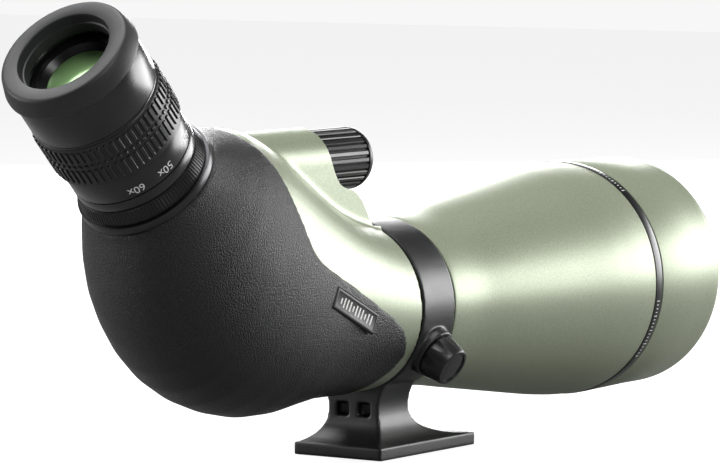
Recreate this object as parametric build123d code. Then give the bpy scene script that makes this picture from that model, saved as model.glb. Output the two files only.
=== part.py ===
from build123d import *
import math
import os

# Angled spotting scope on a rotating tripod collar, in millimetres.
# Frame: +X to the scope's right, +Y towards the objective, +Z up. The origin is
# the centre of the tripod thread on the underside of the foot.

# Optical layout
OPTICAL_Z = 60.5            # height of the objective's axis over the foot
BEND_Y = -102.2             # where the eyepiece axis leaves the objective's axis
FOCUS_Z = 120.5             # height of the focus knob's axis
LOCK_DROP = 30.0            # degrees that the lock knob points below level

# Collar and foot
COLLAR_FRONT = -0.9
COLLAR_REAR = -23.1
COLLAR_R = 34.8
SLEEVE_R = 31.0             # bearing surface of the barrel inside the collar
LINER_T = 1.45
RUN_GAP = 0.05              # radial clearance of everything that turns or slides
FOOT_HALF_X = 21.2
FOOT_HALF_Y = 34.5
FOOT_EDGE = 5.0
FOOT_TOP = 33.0             # where the neck ends inside the ring
NECK_HALF_X = 12.2
POCKET_X = 5.15             # middle of each lightening pocket in the rear of the neck
POCKET_HALF = 2.95
THREAD_R = 2.6              # minor radius of the standard quarter-inch camera thread
THREAD_DEPTH = 8.0
PIN_R = 2.3
PIN_Y = 14.0
KNOB_FLUTES = 8
LOCK_SCREW_R = 2.5

# Front tube
BARREL_R = 35.0
BARREL_END = 131.0
BARREL_WALL = 2.4
CONE_R = 36.0               # radius where the plain cone starts
CONE_START = 20.0
BARREL_SLOPE = 0.14
OBJECTIVE_R = 42.5
GUIDE_R = 46.4
HOOD_REAR = 137.0
HOOD_FRONT = 188.0
HOOD_R = 50.0
HOOD_NOSE_R = 49.4

# Prism housing: round sections that fan about a line above the collar
FAN_Y = -23.5
FAN_Z = 252.5
SKIN = 4.0                  # wall of the housing
ARMOUR_T = 1.6
# degrees of the fan: nearest and farthest distance from the line, half width
STATIONS = {
    0: (157.6, 226.4, 34.4),
    10: (152.0, 229.2, 35.5),
    20: (145.0, 243.3, 38.0),
    30: (142.0, 247.5, 39.5),
    38: (147.0, 238.0, 36.5),
    45: (163.7, 219.3, 27.8),
}
NECK_T = 83.0               # rear end of the housing along the eyepiece's axis
HUMP_R = 13.7

# Badge on the armour's right side
BADGE = Plane(
    origin=(37.0, -75.7, 64.7),
    x_dir=(-0.0705, 0.9163, -0.3935),
    z_dir=(0.997, 0.0706, -0.0142),
)
BADGE_HALF_LENGTH = 17.0
BADGE_HALF_HEIGHT = 4.45
BADGE_LEAN = 0.5

# Prism
PRISM_FRONT = -87.7
PRISM_TOP = 95.5
PRISM_SIDE = 54.0
PRISM_HALF_WIDTH = 17.0
SCREW_PLACES = [(x, y) for x in (-7.0, 7.0) for y in (-104.0, -89.5)]

# Focus drive
KNOB_R = 12.5
KNOB_FRONT = -26.0
KNOB_CAP_REAR = -27.2
KNOB_REAR = -62.0
KNOB_RIBS = 28
SCREW_R = 3.0
BUSH_R = 6.6
ROD_R = 1.2
ROD_X = 5.6
ROD_Z = 114.2

# Eyepiece, as distances along its own axis
LOCK_RING = (86.2, 92.5)
INDEX_RING = (93.0, 97.2)
NUMBER_RING = (97.6, 107.5)
GRIP = (107.8, 128.3)
SLEEVE = (129.6, 146.5)
CUP_PLUG = 144.0            # rear end of the cup's foot, which plugs into the sleeve
CUP_FACE = 154.5
TUBE_R = 18.0
EYE_R = 25.1
GRIP_R = 26.2
ZOOM_TURN = (-43.3, 141.7)  # degrees
REAR_CELL_RATE = -1.6       # millimetres of travel for each radian of zoom
CAM_PIN_T = 104.5
PIN_TURNS = (90, 270)       # degrees round the eyepiece
GRIP_ROWS = ((110.0, 117.0), (118.3, 119.9), (121.2, 126.8))
GRIP_TEETH = 60
KNURL_TEETH = 120

OPTICAL = Plane(origin=(0, 0, OPTICAL_Z), x_dir=(1, 0, 0), z_dir=(0, 1, 0))
FOCUS = Plane(origin=(0, 0, FOCUS_Z), x_dir=(1, 0, 0), z_dir=(0, 1, 0))
EYEPIECE = Plane(origin=(0, BEND_Y, OPTICAL_Z), x_dir=(1, 0, 0), z_dir=(0, -1, 1))
COLLAR_MID = (COLLAR_FRONT + COLLAR_REAR) / 2
LOCK = Plane(
    origin=(0, COLLAR_MID, OPTICAL_Z),
    x_dir=(0, 1, 0),
    z_dir=(math.cos(math.radians(LOCK_DROP)), 0, -math.sin(math.radians(LOCK_DROP))),
)


# General shapes
def section(*corners):
    """Face on the XZ plane from (height, radius) corners."""
    points = [(radius, height) for height, radius in corners]
    return make_face(Plane.XZ * Polyline(*points, close=True))


def turned(*corners):
    """Solid of revolution about Z from (height, radius) corners."""
    return revolve(section(*corners), Axis.Z)


def ring(low, high, inner, outer):
    """Plain ring, or a disc when inner is zero."""
    return turned((low, inner), (low, outer), (high, outer), (high, inner))


def toothed(low, high, root, tip, count, duty=0.5):
    """Disc with square teeth round its rim."""
    points = []
    pitch = 2 * math.pi / count
    for number in range(count):
        start = number * pitch
        end = start + duty * pitch
        points.append((tip * math.cos(start), tip * math.sin(start)))
        points.append((tip * math.cos(end), tip * math.sin(end)))
        points.append((root * math.cos(end), root * math.sin(end)))
        points.append((root * math.cos(start + pitch), root * math.sin(start + pitch)))
    return Pos(0, 0, low) * extrude(Polygon(*points, align=None), high - low)


def lens(low, high, radius, bulge_low, bulge_high):
    """Lens between two heights at its edge; a negative bulge is hollow."""
    bottom = ThreePointArc((-radius, low), (0, low - bulge_low), (radius, low))
    top = ThreePointArc((-radius, high), (0, high + bulge_high), (radius, high))
    sides = Line((radius, low), (radius, high)) + Line((-radius, low), (-radius, high))
    outline = make_face(Plane.XZ * (bottom + top + sides))
    half = outline & (Plane.XZ * Pos(radius, (low + high) / 2) * Rectangle(2 * radius, 4 * radius))
    return revolve(half, Axis.Z)


def side_profile(half_width, *points):
    """Solid across X from (y, z) points of its side view."""
    outline = make_face(Plane.YZ * Polyline(*points, close=True))
    return extrude(outline, half_width, both=True)


def block(x, y, z):
    """Box from pairs of limits."""
    centre = Pos((x[0] + x[1]) / 2, (y[0] + y[1]) / 2, (z[0] + z[1]) / 2)
    return centre * Box(x[1] - x[0], y[1] - y[0], z[1] - z[0])


def about(plane, shape):
    """Shape made about Z, laid on one of the scope's axes."""
    return plane.location * shape


# Collar and foot
def foot():
    """Foot with a neck that flares into the plate and into the ring."""
    x, y, edge = FOOT_HALF_X, FOOT_HALF_Y, FOOT_EDGE
    side = (
        Polyline((-y, edge), (-y, 0), (y, 0), (y, edge))
        + Spline((y, edge), (9.0, 9.0), (COLLAR_FRONT, 20.0), tangents=[(-1, 0.06), (0, 1)])
        + Line((COLLAR_FRONT, 20.0), (COLLAR_FRONT, FOOT_TOP))
        + Line((COLLAR_FRONT, FOOT_TOP), (COLLAR_REAR, FOOT_TOP))
        + Line((COLLAR_REAR, FOOT_TOP), (COLLAR_REAR, 17.0))
        + Spline((COLLAR_REAR, 17.0), (-26.0, 9.6), (-y, edge), tangents=[(0, -1), (-1, -0.3)])
    )
    half_front = (
        Polyline((0, FOOT_TOP), (0, 0), (x, 0), (x, edge))
        + Spline((x, edge), (15.0, 9.5), (NECK_HALF_X, 19.0), tangents=[(-1, 0.3), (0, 1)])
        + Spline((NECK_HALF_X, 19.0), (14.2, 27.0), (20.0, FOOT_TOP), tangents=[(0, 1), (1, 0.5)])
        + Line((20.0, FOOT_TOP), (0, FOOT_TOP))
    )
    along = extrude(make_face(Plane.YZ * side), FOOT_HALF_X + 1, both=True)
    half = extrude(make_face(Plane.XZ * half_front), FOOT_HALF_Y + 1, both=True)
    return along & (half + mirror(half, Plane.YZ))


def tripod_collar():
    band = about(OPTICAL, ring(COLLAR_REAR, COLLAR_FRONT, 0, COLLAR_R))
    boss = about(LOCK, ring(33.0, 37.6, 0, 10.4))
    solid = foot() + band + boss
    bore = SLEEVE_R + RUN_GAP + LINER_T
    solid -= about(OPTICAL, ring(COLLAR_REAR - 1, COLLAR_FRONT + 1, 0, bore))
    solid -= about(LOCK, ring(31.0, 39.0, 0, LOCK_SCREW_R + RUN_GAP))
    solid -= about(LOCK, ring(31.0, 34.6, 0, 3.6))
    solid -= Cylinder(5.0, 2 * THREAD_DEPTH)
    solid -= Pos(0, PIN_Y, 0) * Cylinder(PIN_R, 9.0)
    for x in (-POCKET_X, POCKET_X):
        width = (x - POCKET_HALF, x + POCKET_HALF)
        solid -= block(width, (COLLAR_REAR - 2, COLLAR_REAR + 3.5), (15.8, 21.4))
    return solid


def collar_liner():
    inner = SLEEVE_R + RUN_GAP
    solid = about(OPTICAL, ring(COLLAR_REAR, COLLAR_FRONT, inner, inner + LINER_T))
    return solid - about(LOCK, ring(29.0, 35.0, 0, 3.6))


def thread_insert():
    return ring(0, THREAD_DEPTH, THREAD_R, 5.0)


def clamp_shoe():
    return about(LOCK, ring(31.25, 34.0, 0, 3.4))


# Lock knob
def lock_knob():
    body = turned((38.0, 0), (38.0, 9.4), (39.2, 9.7), (46.6, 8.2), (47.4, 7.4), (47.4, 0))
    for number in range(KNOB_FLUTES):
        turn = Rot(0, 0, 360 / KNOB_FLUTES * number)
        body -= turn * Pos(13.0, 0, 43.0) * Cylinder(4.2, 12.0)
    body -= ring(46.6, 48.0, 0, 6.3)
    return about(LOCK, body - ring(37.0, 45.0, 0, LOCK_SCREW_R))


def lock_knob_cap():
    return about(LOCK, turned((46.6, 0), (46.6, 6.2), (46.9, 6.2), (47.2, 5.8), (47.2, 0)))


def lock_screw():
    tip = (34.1, 2.1)
    return about(LOCK, turned((34.1, 0), tip, (34.5, LOCK_SCREW_R), (45.0, LOCK_SCREW_R), (45.0, 0)))


# Front tube
def barrel_radius(y):
    """Radius of the plain cone of the front tube."""
    return CONE_R + BARREL_SLOPE * (y - CONE_START)


def front_barrel():
    rim_r = 49.8
    heel = (34.7, -0.5)
    cone = [(barrel_radius(y), y) for y in (CONE_START, 40.0, 70.0, 100.0)]
    outer = Spline(heel, (BARREL_R, 2.0), *cone, (48.4, 110.0), (49.3, 120.0), (rim_r, BARREL_END))
    inside = Polyline(
        (rim_r, BARREL_END), (46.2, BARREL_END), (46.2, 114.0), (44.0, 112.0),
        (barrel_radius(95) - BARREL_WALL, 95.0), (CONE_R - BARREL_WALL, CONE_START),
        (32.4, 4.0), (28.8, -2.0), (28.8, -30.0), (SLEEVE_R, -30.0), (SLEEVE_R, -0.5), heel,
    )
    return about(OPTICAL, revolve(make_face(Plane.XZ * (outer + inside)), Axis.Z))


def trim_ring():
    inner, outer = 46.5, 50.1
    return about(OPTICAL, turned(
        (131.2, inner), (131.2, 49.8), (131.7, outer), (135.6, outer), (136.1, 49.7), (136.1, inner),
    ))


def objective_cell():
    seat_r = OBJECTIVE_R + 0.1
    return about(OPTICAL, turned(
        (116.0, 40.0), (116.0, 46.1), (131.1, 46.1), (131.1, GUIDE_R), (177.0, GUIDE_R),
        (178.0, 45.6), (178.0, 43.8), (168.0, seat_r), (146.0, seat_r), (146.0, 40.0),
    ))


def objective_rear_lens():
    return about(OPTICAL, lens(146.4, 152.0, OBJECTIVE_R, 1.2, -4.0))


def objective_spacer():
    return about(OPTICAL, ring(152.05, 153.1, 40.6, OBJECTIVE_R))


def objective_front_lens():
    return about(OPTICAL, lens(153.5, 157.0, OBJECTIVE_R, 3.6, 5.2))


def objective_retainer():
    return about(OPTICAL, turned(
        (157.6, 40.6), (157.6, OBJECTIVE_R), (164.0, OBJECTIVE_R), (164.0, 42.0),
    ))


def baffle(y):
    """Light stop across the front tube."""
    edge = barrel_radius(y) - 2.5
    return about(OPTICAL, turned((y - 1, edge - 9), (y - 1, edge - 0.2), (y + 1, edge), (y + 1, edge - 9)))


# Sun hood
def lens_hood():
    inner_r = 47.8
    lip_r = 45.0
    shoulder = (HOOD_NOSE_R, 182.5)
    tip = (45.6, HOOD_FRONT)
    outer = Polyline((inner_r, HOOD_REAR), (HOOD_R, HOOD_REAR), (HOOD_NOSE_R, 168.0), shoulder)
    nose = Spline(shoulder, (47.9, 186.6), tip, tangents=[(0, 1), (-1, 0.1)])
    inner = Polyline(tip, (lip_r, 187.6), (lip_r, 183.0), (inner_r, 179.5), (inner_r, HOOD_REAR))
    return about(OPTICAL, revolve(make_face(Plane.XZ * (outer + nose + inner)), Axis.Z))


def hood_friction_band():
    return about(OPTICAL, ring(137.6, 143.6, GUIDE_R + RUN_GAP, 47.75))


# Prism housing
def fan_plane(degrees, distance):
    """Plane across the housing at one angle of the fan."""
    angle = math.radians(degrees)
    centre = (0, FAN_Y - distance * math.sin(angle), FAN_Z - distance * math.cos(angle))
    return Plane(origin=centre, x_dir=(1, 0, 0), z_dir=(0, -math.cos(angle), math.sin(angle)))


def fan(inset):
    """Housing's closed outer form, made smaller by an inset."""
    faces = []
    for degrees, (near, far, half_width) in STATIONS.items():
        plane = fan_plane(degrees, (near + far) / 2)
        faces.append(plane * Ellipse(half_width - inset, (far - near) / 2 - inset))
    neck_radius = STATIONS[45][2] - inset
    faces.append(EYEPIECE * Pos(0, 0, NECK_T) * Circle(neck_radius))
    return loft(faces)


def armour_side():
    """Everything on the armour's side of the seam, as cut across X."""
    seam = Spline(
        (-127.0, 146.0), (-116.5, 124.0), (-110.5, 104.0), (-101.0, 87.0), (-74.0, 73.5),
        (-42.0, 57.6), (-31.4, 47.0), (-32.0, 38.0), (-46.0, 18.0),
    )
    back = Polyline((-46.0, 18.0), (-60.0, -10.0), (-260.0, -10.0), (-260.0, 146.0), (-127.0, 146.0))
    return extrude(make_face(Plane.YZ * (seam + back)), 60, both=True)


def housing_bores():
    """Openings for the front tube's sleeve and the focus drive."""
    return [
        about(OPTICAL, ring(-31.0, -20.0, 0, SLEEVE_R + 0.1)),
        about(FOCUS, ring(KNOB_REAR - 0.6, -10.0, 0, KNOB_R + 0.4)),
        about(FOCUS, ring(-73.0, KNOB_REAR, 0, BUSH_R + RUN_GAP)),
        about(FOCUS, ring(-112.0, -72.5, 0, 10.9)),
        guide_rod(ROD_R + 0.02),
    ]


def knob_shroud(side):
    """Hump over the focus drive and the chin under the knob, seated on the housing."""
    rear = -130.0
    low = 80.0
    top = FOCUS_Z + HUMP_R + 1
    rim = Spline(
        (-60.0, top), (-59.0, 127.0), (-57.0, FOCUS_Z), (-51.0, 111.7), (-42.0, 108.5),
        (-34.0, 101.0), (-28.5, 92.0),
    )
    back = Polyline((-28.5, 92.0), (-28.5, low), (rear, low), (rear, top), (-60.0, top))
    behind_rim = extrude(make_face(Plane.YZ * (rim + back)), HUMP_R + 1, both=True)
    hump = about(FOCUS, ring(-125.0, -20.0, 0, HUMP_R))
    chin = block((-HUMP_R, HUMP_R), (-100.0, -20.0), (low, FOCUS_Z))
    shroud = (hump + chin) & behind_rim
    shroud -= side
    shroud -= fan(0)
    for bore in housing_bores():
        shroud -= bore
    return shroud


def prism_housing(side):
    shell = fan(0) - side
    shell += fan(ARMOUR_T + 0.05)
    shell -= fan(SKIN)
    for bore in housing_bores():
        shell -= bore
    shell += block((-11, 11), (-108.0, -84.7), (20.0, 31.9)) & fan(2.0)
    for x, y in SCREW_PLACES:
        shell -= Pos(x, y, 30.0) * Cylinder(1.25, 8.0)
    return shell


def badge_shape(grow):
    """Slanted outline of the side plate."""
    half = BADGE_HALF_LENGTH + grow
    rise = BADGE_HALF_HEIGHT + grow
    lean = BADGE_LEAN
    return Polygon(
        (-half - lean, -rise), (half - lean, -rise), (half + lean, rise), (-half + lean, rise),
        align=None,
    )


def badge_plate():
    return BADGE.location * Pos(0, 0, -0.8) * extrude(badge_shape(0), 1.2)


def rubber_armour(side):
    skin = fan(-0.4) & side
    skin -= fan(ARMOUR_T - 0.05)
    pocket = BADGE.location * Pos(0, 0, -0.9) * extrude(badge_shape(0.1), 3.0)
    return skin - pocket


def barrel_seal():
    return about(OPTICAL, ring(-31.0, -30.1, 29.0, SLEEVE_R))


# Prism
def prism():
    run = PRISM_SIDE * math.sqrt(0.5)
    return side_profile(
        PRISM_HALF_WIDTH,
        (PRISM_FRONT, PRISM_TOP),
        (PRISM_FRONT, PRISM_TOP - PRISM_SIDE),
        (PRISM_FRONT - run, PRISM_TOP - run),
    )


def prism_bracket():
    plate = about(OPTICAL, ring(-87.2, -84.7, 0, 26.0))
    plate += block((-11, 11), (-87.2, -84.7), (31.9, 50.0))
    plate += block((-11, 11), (-108.0, -84.7), (31.9, 34.9))
    cheek = side_profile(
        1.25, (-85.0, 46.0), (-85.0, 76.0), (-106.0, 72.0), (-117.0, 60.0), (-100.0, 46.0),
    )
    for x in (-18.6, 18.6):
        plate += Pos(x, 0, 0) * cheek
    plate -= about(OPTICAL, ring(-90.0, -80.0, 0, 14.5))
    for x, y in SCREW_PLACES:
        plate -= Pos(x, y, 33.0) * Cylinder(1.35, 6.0)
    return plate


def prism_rest():
    run = PRISM_SIDE * math.sqrt(0.5)
    low = (PRISM_FRONT, PRISM_TOP - PRISM_SIDE)
    slope = math.degrees(math.atan2(PRISM_SIDE - run, -run))
    middle = Pos(0, low[0] - run / 2, low[1] + (PRISM_SIDE - run) / 2)
    return middle * Rot(slope, 0, 0) * Pos(0, 0, 0.6) * Box(34.5, 12.0, 1.0)


def bracket_screw(x, y):
    screw = turned((27.0, 0), (27.0, 1.2), (34.95, 1.2), (34.95, 2.2), (36.6, 2.2), (36.6, 0))
    return Pos(x, y, 0) * screw


# Focus drive
def focus_knob():
    body = about(FOCUS, turned(
        (KNOB_REAR, 0), (KNOB_REAR, KNOB_R), (-28.2, KNOB_R), (KNOB_CAP_REAR, 12.1), (KNOB_CAP_REAR, 0),
    ))
    for number in range(KNOB_RIBS):
        turn = Rot(0, 0, number * 360 / KNOB_RIBS)
        body -= about(FOCUS, turn * Pos(KNOB_R + 0.45, 0, -45.0) * Cylinder(0.9, 28.0))
    return body - about(FOCUS, ring(-63.0, -40.0, 0, SCREW_R))


def focus_knob_cap():
    rear, front = KNOB_CAP_REAR, KNOB_FRONT
    return about(FOCUS, turned((rear, 0), (rear, 11.6), (-26.6, 11.1), (front, 9.6), (front, 0)))


def focus_bush():
    return about(FOCUS, ring(-72.6, -62.7, SCREW_R + RUN_GAP, BUSH_R))


def focus_screw():
    rear, front = -106.0, -40.0
    tip = (rear, SCREW_R - 0.6)
    return about(FOCUS, turned((rear, 0), tip, (-105.4, SCREW_R), (front, SCREW_R), (front, 0)))


def guide_rod(radius):
    """Rod that keeps the carriage from turning with the screw."""
    return Pos(ROD_X, -87.0, ROD_Z) * Rot(90, 0, 0) * Cylinder(radius, 37.0)


def focus_carriage():
    nut = about(FOCUS, ring(-88.0, -80.0, 0, 7.0))
    nut += Pos(ROD_X, -84.0, ROD_Z) * Rot(90, 0, 0) * Cylinder(2.2, 8.0)
    arm = side_profile(
        3.0, (-84.0, 116.0), (-84.0, 98.5), (-74.0, 98.5), (-74.0, 78.0), (-70.0, 78.0),
        (-70.0, 102.5), (-80.0, 102.5), (-80.0, 116.0),
    )
    cell = about(OPTICAL, ring(-76.0, -68.0, 0, 19.5))
    solid = nut + arm + cell
    solid -= about(FOCUS, ring(-90.0, -78.0, 0, SCREW_R + RUN_GAP))
    solid -= Pos(ROD_X, -84.0, ROD_Z) * Rot(90, 0, 0) * Cylinder(ROD_R + RUN_GAP, 12.0)
    solid -= about(OPTICAL, ring(-77.0, -67.0, 0, 14.5))
    solid -= about(OPTICAL, ring(-74.5, -67.0, 0, 17.0))
    return solid


def focus_lens():
    return about(OPTICAL, lens(-74.4, -71.5, 16.9, -0.8, 1.6))


def focus_lens_retainer():
    return about(OPTICAL, ring(-69.7, -68.2, 14.6, 16.95))


# Eyepiece, built about its own axis
def eyepiece_mount():
    inner, plug, flange, nose = 19.55, 23.0, 27.8, 21.4
    return about(EYEPIECE, turned(
        (74.0, inner), (74.0, plug), (83.2, plug), (83.2, flange), (85.6, flange),
        (85.9, flange - 0.3), (85.9, nose), (92.4, nose), (92.4, inner),
    ))


def eyepiece_seal():
    return about(EYEPIECE, ring(73.0, 73.95, 20.0, 23.6))


def eyepiece_lock_ring():
    low, high = LOCK_RING
    form = turned((low, 21.45), (low, 26.9), (high, 25.5), (high, 21.45))
    return about(EYEPIECE, form & toothed(low, high, 25.2, 27.2, KNURL_TEETH, 0.62))


def eyepiece_barrel():
    """Fixed inner tube with straight slots for the rear cell's pins."""
    tube = ring(76.0, 117.0, TUBE_R, TUBE_R + 1.5)
    slot = block((TUBE_R - 1, TUBE_R + 3), (-1.3, 1.3), (99.3, 107.0))
    for turn in PIN_TURNS:
        tube -= Rot(0, 0, turn) * slot
    return about(EYEPIECE, tube)


def index_ring():
    low, high = INDEX_RING
    inner = 19.5
    return about(EYEPIECE, turned(
        (low, inner), (low, EYE_R - 0.2), (low + 0.3, EYE_R), (high, EYE_R), (high, inner),
    ))


def number_ring():
    low, high = NUMBER_RING
    return about(EYEPIECE, ring(low, high, 21.0, EYE_R))


def cam_tube():
    """Turning sleeve whose two helical slots move the rear cell's pins."""
    tube = ring(97.7, 116.3, TUBE_R + 1.55, 20.95)
    steps = 55
    first, last = ZOOM_TURN
    for step in range(steps + 1):
        turned_by = first + (last - first) * step / steps
        height = CAM_PIN_T + REAR_CELL_RATE * math.radians(turned_by)
        cut = Pos(0, 0, height) * Rot(0, 90, 0) * Cylinder(1.3, 60.0)
        tube -= Rot(0, 0, 90 - turned_by) * cut
    return about(EYEPIECE, tube)


def zoom_grip():
    low, high = GRIP
    inner = 22.9
    cam_r = 20.95
    solid = turned(
        (low, cam_r), (low, 25.4), (low + 0.9, GRIP_R), (high - 0.9, GRIP_R), (high, 25.6),
        (high, inner), (116.8, inner), (116.8, cam_r),
    )
    for start, end in GRIP_ROWS:
        row = toothed(start, end, GRIP_R - 0.2, GRIP_R + 0.6, GRIP_TEETH, 0.6)
        solid += row - ring(start - 1, end + 1, 0, 25.0)
    return about(EYEPIECE, solid)


def zoom_trim_band():
    return about(EYEPIECE, ring(GRIP[1], 129.3, 22.9, 25.8))


def zoom_cell(low, high):
    """Sliding cell that is open at its high end for its lens."""
    return ring(low, high, 15.0, TUBE_R - RUN_GAP) - ring(low + 1.6, high + 1, 0, 16.6)


def cam_pin(turn, radius=0.98):
    """Pin from the rear zoom cell out through both slots."""
    length = 20.9 - 16.7
    pin = Pos(16.7 + length / 2, 0, CAM_PIN_T) * Rot(0, 90, 0) * Cylinder(radius, length)
    return Rot(0, 0, turn) * pin


def zoom_cell_rear():
    cell = zoom_cell(103.2, 110.4) + ring(103.2, 105.7, 15.0, TUBE_R - RUN_GAP)
    for turn in PIN_TURNS:
        cell -= cam_pin(turn, 1.0)
    return about(EYEPIECE, cell)


def zoom_lens(low, high, bulge_low, bulge_high):
    return about(EYEPIECE, lens(low, high, 16.5, bulge_low, bulge_high))


def eyepiece_head():
    outer, seat, bore = 22.6, 16.4, 15.0
    return about(EYEPIECE, turned(
        (117.0, bore), (117.0, outer), (143.2, outer), (143.2, seat), (125.0, seat), (125.0, bore),
    ))


def eye_lens_retainer():
    return about(EYEPIECE, turned((140.2, 13.6), (140.2, 16.35), (143.0, 16.35), (143.0, 15.4)))


def eyecup_guide():
    return about(EYEPIECE, ring(131.0, 138.0, 22.65, 24.0))


def eyecup_sleeve():
    low, high = SLEEVE
    bore, outer = 24.05, 26.0
    return about(EYEPIECE, turned(
        (low, bore), (low, outer - 0.2), (low + 0.3, outer), (high, outer), (high, bore),
    ))


def eyecup():
    low = SLEEVE[1]
    mouth, plug = 18.6, 24.0
    foot_inner = (mouth, CUP_PLUG)
    shoulder = (25.6, CUP_FACE - 1.2)
    face = (24.0, CUP_FACE)
    outer = Polyline(
        foot_inner, (plug, CUP_PLUG), (plug, low), (27.3, low), (27.35, low + 1.2), shoulder,
    )
    edge = Spline(shoulder, (25.0, CUP_FACE - 0.2), face)
    inner = Polyline(face, (18.8, CUP_FACE), (18.15, CUP_FACE - 0.7), foot_inner)
    return about(EYEPIECE, revolve(make_face(Plane.XZ * (outer + edge + inner)), Axis.Z))


def build_parts():
    """Every sub-part, by node name."""
    side = armour_side()
    parts = {
        "tripod_collar": tripod_collar(),
        "collar_liner": collar_liner(),
        "thread_insert": thread_insert(),
        "clamp_shoe": clamp_shoe(),
        "lock_knob": lock_knob(),
        "lock_knob_cap": lock_knob_cap(),
        "lock_screw": lock_screw(),
        "front_barrel": front_barrel(),
        "trim_ring": trim_ring(),
        "objective_cell": objective_cell(),
        "objective_rear_lens": objective_rear_lens(),
        "objective_spacer": objective_spacer(),
        "objective_front_lens": objective_front_lens(),
        "objective_retainer": objective_retainer(),
        "baffle_front": baffle(80.0),
        "baffle_rear": baffle(40.0),
        "lens_hood": lens_hood(),
        "hood_friction_band": hood_friction_band(),
        "prism_housing": prism_housing(side),
        "knob_shroud": knob_shroud(side),
        "rubber_armour": rubber_armour(side),
        "badge_plate": badge_plate(),
        "barrel_seal": barrel_seal(),
        "prism": prism(),
        "prism_bracket": prism_bracket(),
        "prism_rest": prism_rest(),
        "focus_knob": focus_knob(),
        "focus_knob_cap": focus_knob_cap(),
        "focus_bush": focus_bush(),
        "focus_screw": focus_screw(),
        "focus_guide_rod": guide_rod(ROD_R),
        "focus_carriage": focus_carriage(),
        "focus_lens": focus_lens(),
        "focus_lens_retainer": focus_lens_retainer(),
        "eyepiece_mount": eyepiece_mount(),
        "eyepiece_seal": eyepiece_seal(),
        "eyepiece_lock_ring": eyepiece_lock_ring(),
        "eyepiece_barrel": eyepiece_barrel(),
        "index_ring": index_ring(),
        "number_ring": number_ring(),
        "cam_tube": cam_tube(),
        "zoom_grip": zoom_grip(),
        "zoom_trim_band": zoom_trim_band(),
        "zoom_cell_front": about(EYEPIECE, zoom_cell(84.5, 92.0)),
        "zoom_lens_front": zoom_lens(86.5, 90.0, 1.2, 1.6),
        "zoom_cell_rear": zoom_cell_rear(),
        "zoom_lens_rear": zoom_lens(106.0, 108.6, 1.0, 1.6),
        "eyepiece_head": eyepiece_head(),
        "eye_lens_inner": about(EYEPIECE, lens(125.5, 129.5, 16.3, 2.0, 3.0)),
        "eye_lens_outer": about(EYEPIECE, lens(133.6, 139.5, 16.3, 1.0, 1.6)),
        "eye_lens_retainer": eye_lens_retainer(),
        "eyecup_guide": eyecup_guide(),
        "eyecup_sleeve": eyecup_sleeve(),
        "eyecup": eyecup(),
    }
    for number, (x, y) in enumerate(SCREW_PLACES, 1):
        parts[f"bracket_screw_{number}"] = bracket_screw(x, y)
    for number, turn in enumerate(PIN_TURNS, 1):
        parts[f"rear_cam_pin_{number}"] = about(EYEPIECE, cam_pin(turn))
    return parts


os.makedirs("parts", exist_ok=True)
for node, shape in build_parts().items():
    export_step(shape, os.path.join("parts", node + ".step"))
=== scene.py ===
"""Looks of an angled spotting scope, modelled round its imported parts."""

import logging
import math
from dataclasses import dataclass
from enum import Enum

import bpy
from mathutils import Matrix, Vector


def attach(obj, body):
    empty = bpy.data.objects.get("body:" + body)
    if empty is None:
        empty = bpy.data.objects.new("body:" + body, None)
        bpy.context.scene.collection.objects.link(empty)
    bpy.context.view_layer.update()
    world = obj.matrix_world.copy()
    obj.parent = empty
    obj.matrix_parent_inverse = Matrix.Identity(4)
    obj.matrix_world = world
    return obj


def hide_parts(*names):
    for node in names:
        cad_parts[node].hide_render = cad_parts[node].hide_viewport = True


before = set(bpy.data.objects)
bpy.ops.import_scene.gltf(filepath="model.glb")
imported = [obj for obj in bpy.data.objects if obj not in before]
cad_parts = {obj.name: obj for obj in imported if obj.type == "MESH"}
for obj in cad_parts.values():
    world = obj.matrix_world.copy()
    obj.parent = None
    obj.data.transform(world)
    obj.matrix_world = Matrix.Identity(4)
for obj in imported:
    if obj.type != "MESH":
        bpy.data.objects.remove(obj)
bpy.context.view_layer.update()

MM = 0.001
FINE_RING = 160
DOME_STEPS = 24
CLOUD_SIZE = 14.0
COAT_ROUGHNESS = 0.25
GLASS_COAT_ROUGHNESS = 0.03
FULL_TURN = 2 * math.pi
LOG = logging.getLogger("scope")
Stations = list[tuple[float, float]]


class Axis(Enum):
    """The scope's own axes: a point in millimetres, its direction, and its sideways direction."""

    OPTICAL = ((0.0, 0.0, 60.5), (0.0, 1.0, 0.0), (1.0, 0.0, 0.0))
    FOCUS = ((0.0, 0.0, 120.5), (0.0, 1.0, 0.0), (1.0, 0.0, 0.0))
    EYEPIECE = ((0.0, -102.2, 60.5), (0.0, -1.0, 1.0), (1.0, 0.0, 0.0))
    LOCK = ((0.0, -12.0, 60.5), (math.cos(math.radians(30)), 0.0, -0.5), (0.0, 1.0, 0.0))

    def matrix(self) -> Matrix:
        """Placement of a piece that was modelled about Z."""
        origin, along, side = self.value
        z = Vector(along).normalized()
        x = Vector(side)
        turn = Matrix((x, z.cross(x), z)).transposed().to_4x4()
        return Matrix.Translation(Vector(origin) * MM) @ turn


class Body(str, Enum):
    """Moving bodies that pieces ride on."""

    MOUNT = "mount"
    LOCK = "lock_knob"
    TUBE = "tube"
    HOOD = "hood"
    FOCUS = "focus_knob"
    EYE_LOCK = "eyepiece_lock"
    ZOOM = "zoom_ring"
    CUP = "eyecup"


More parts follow.
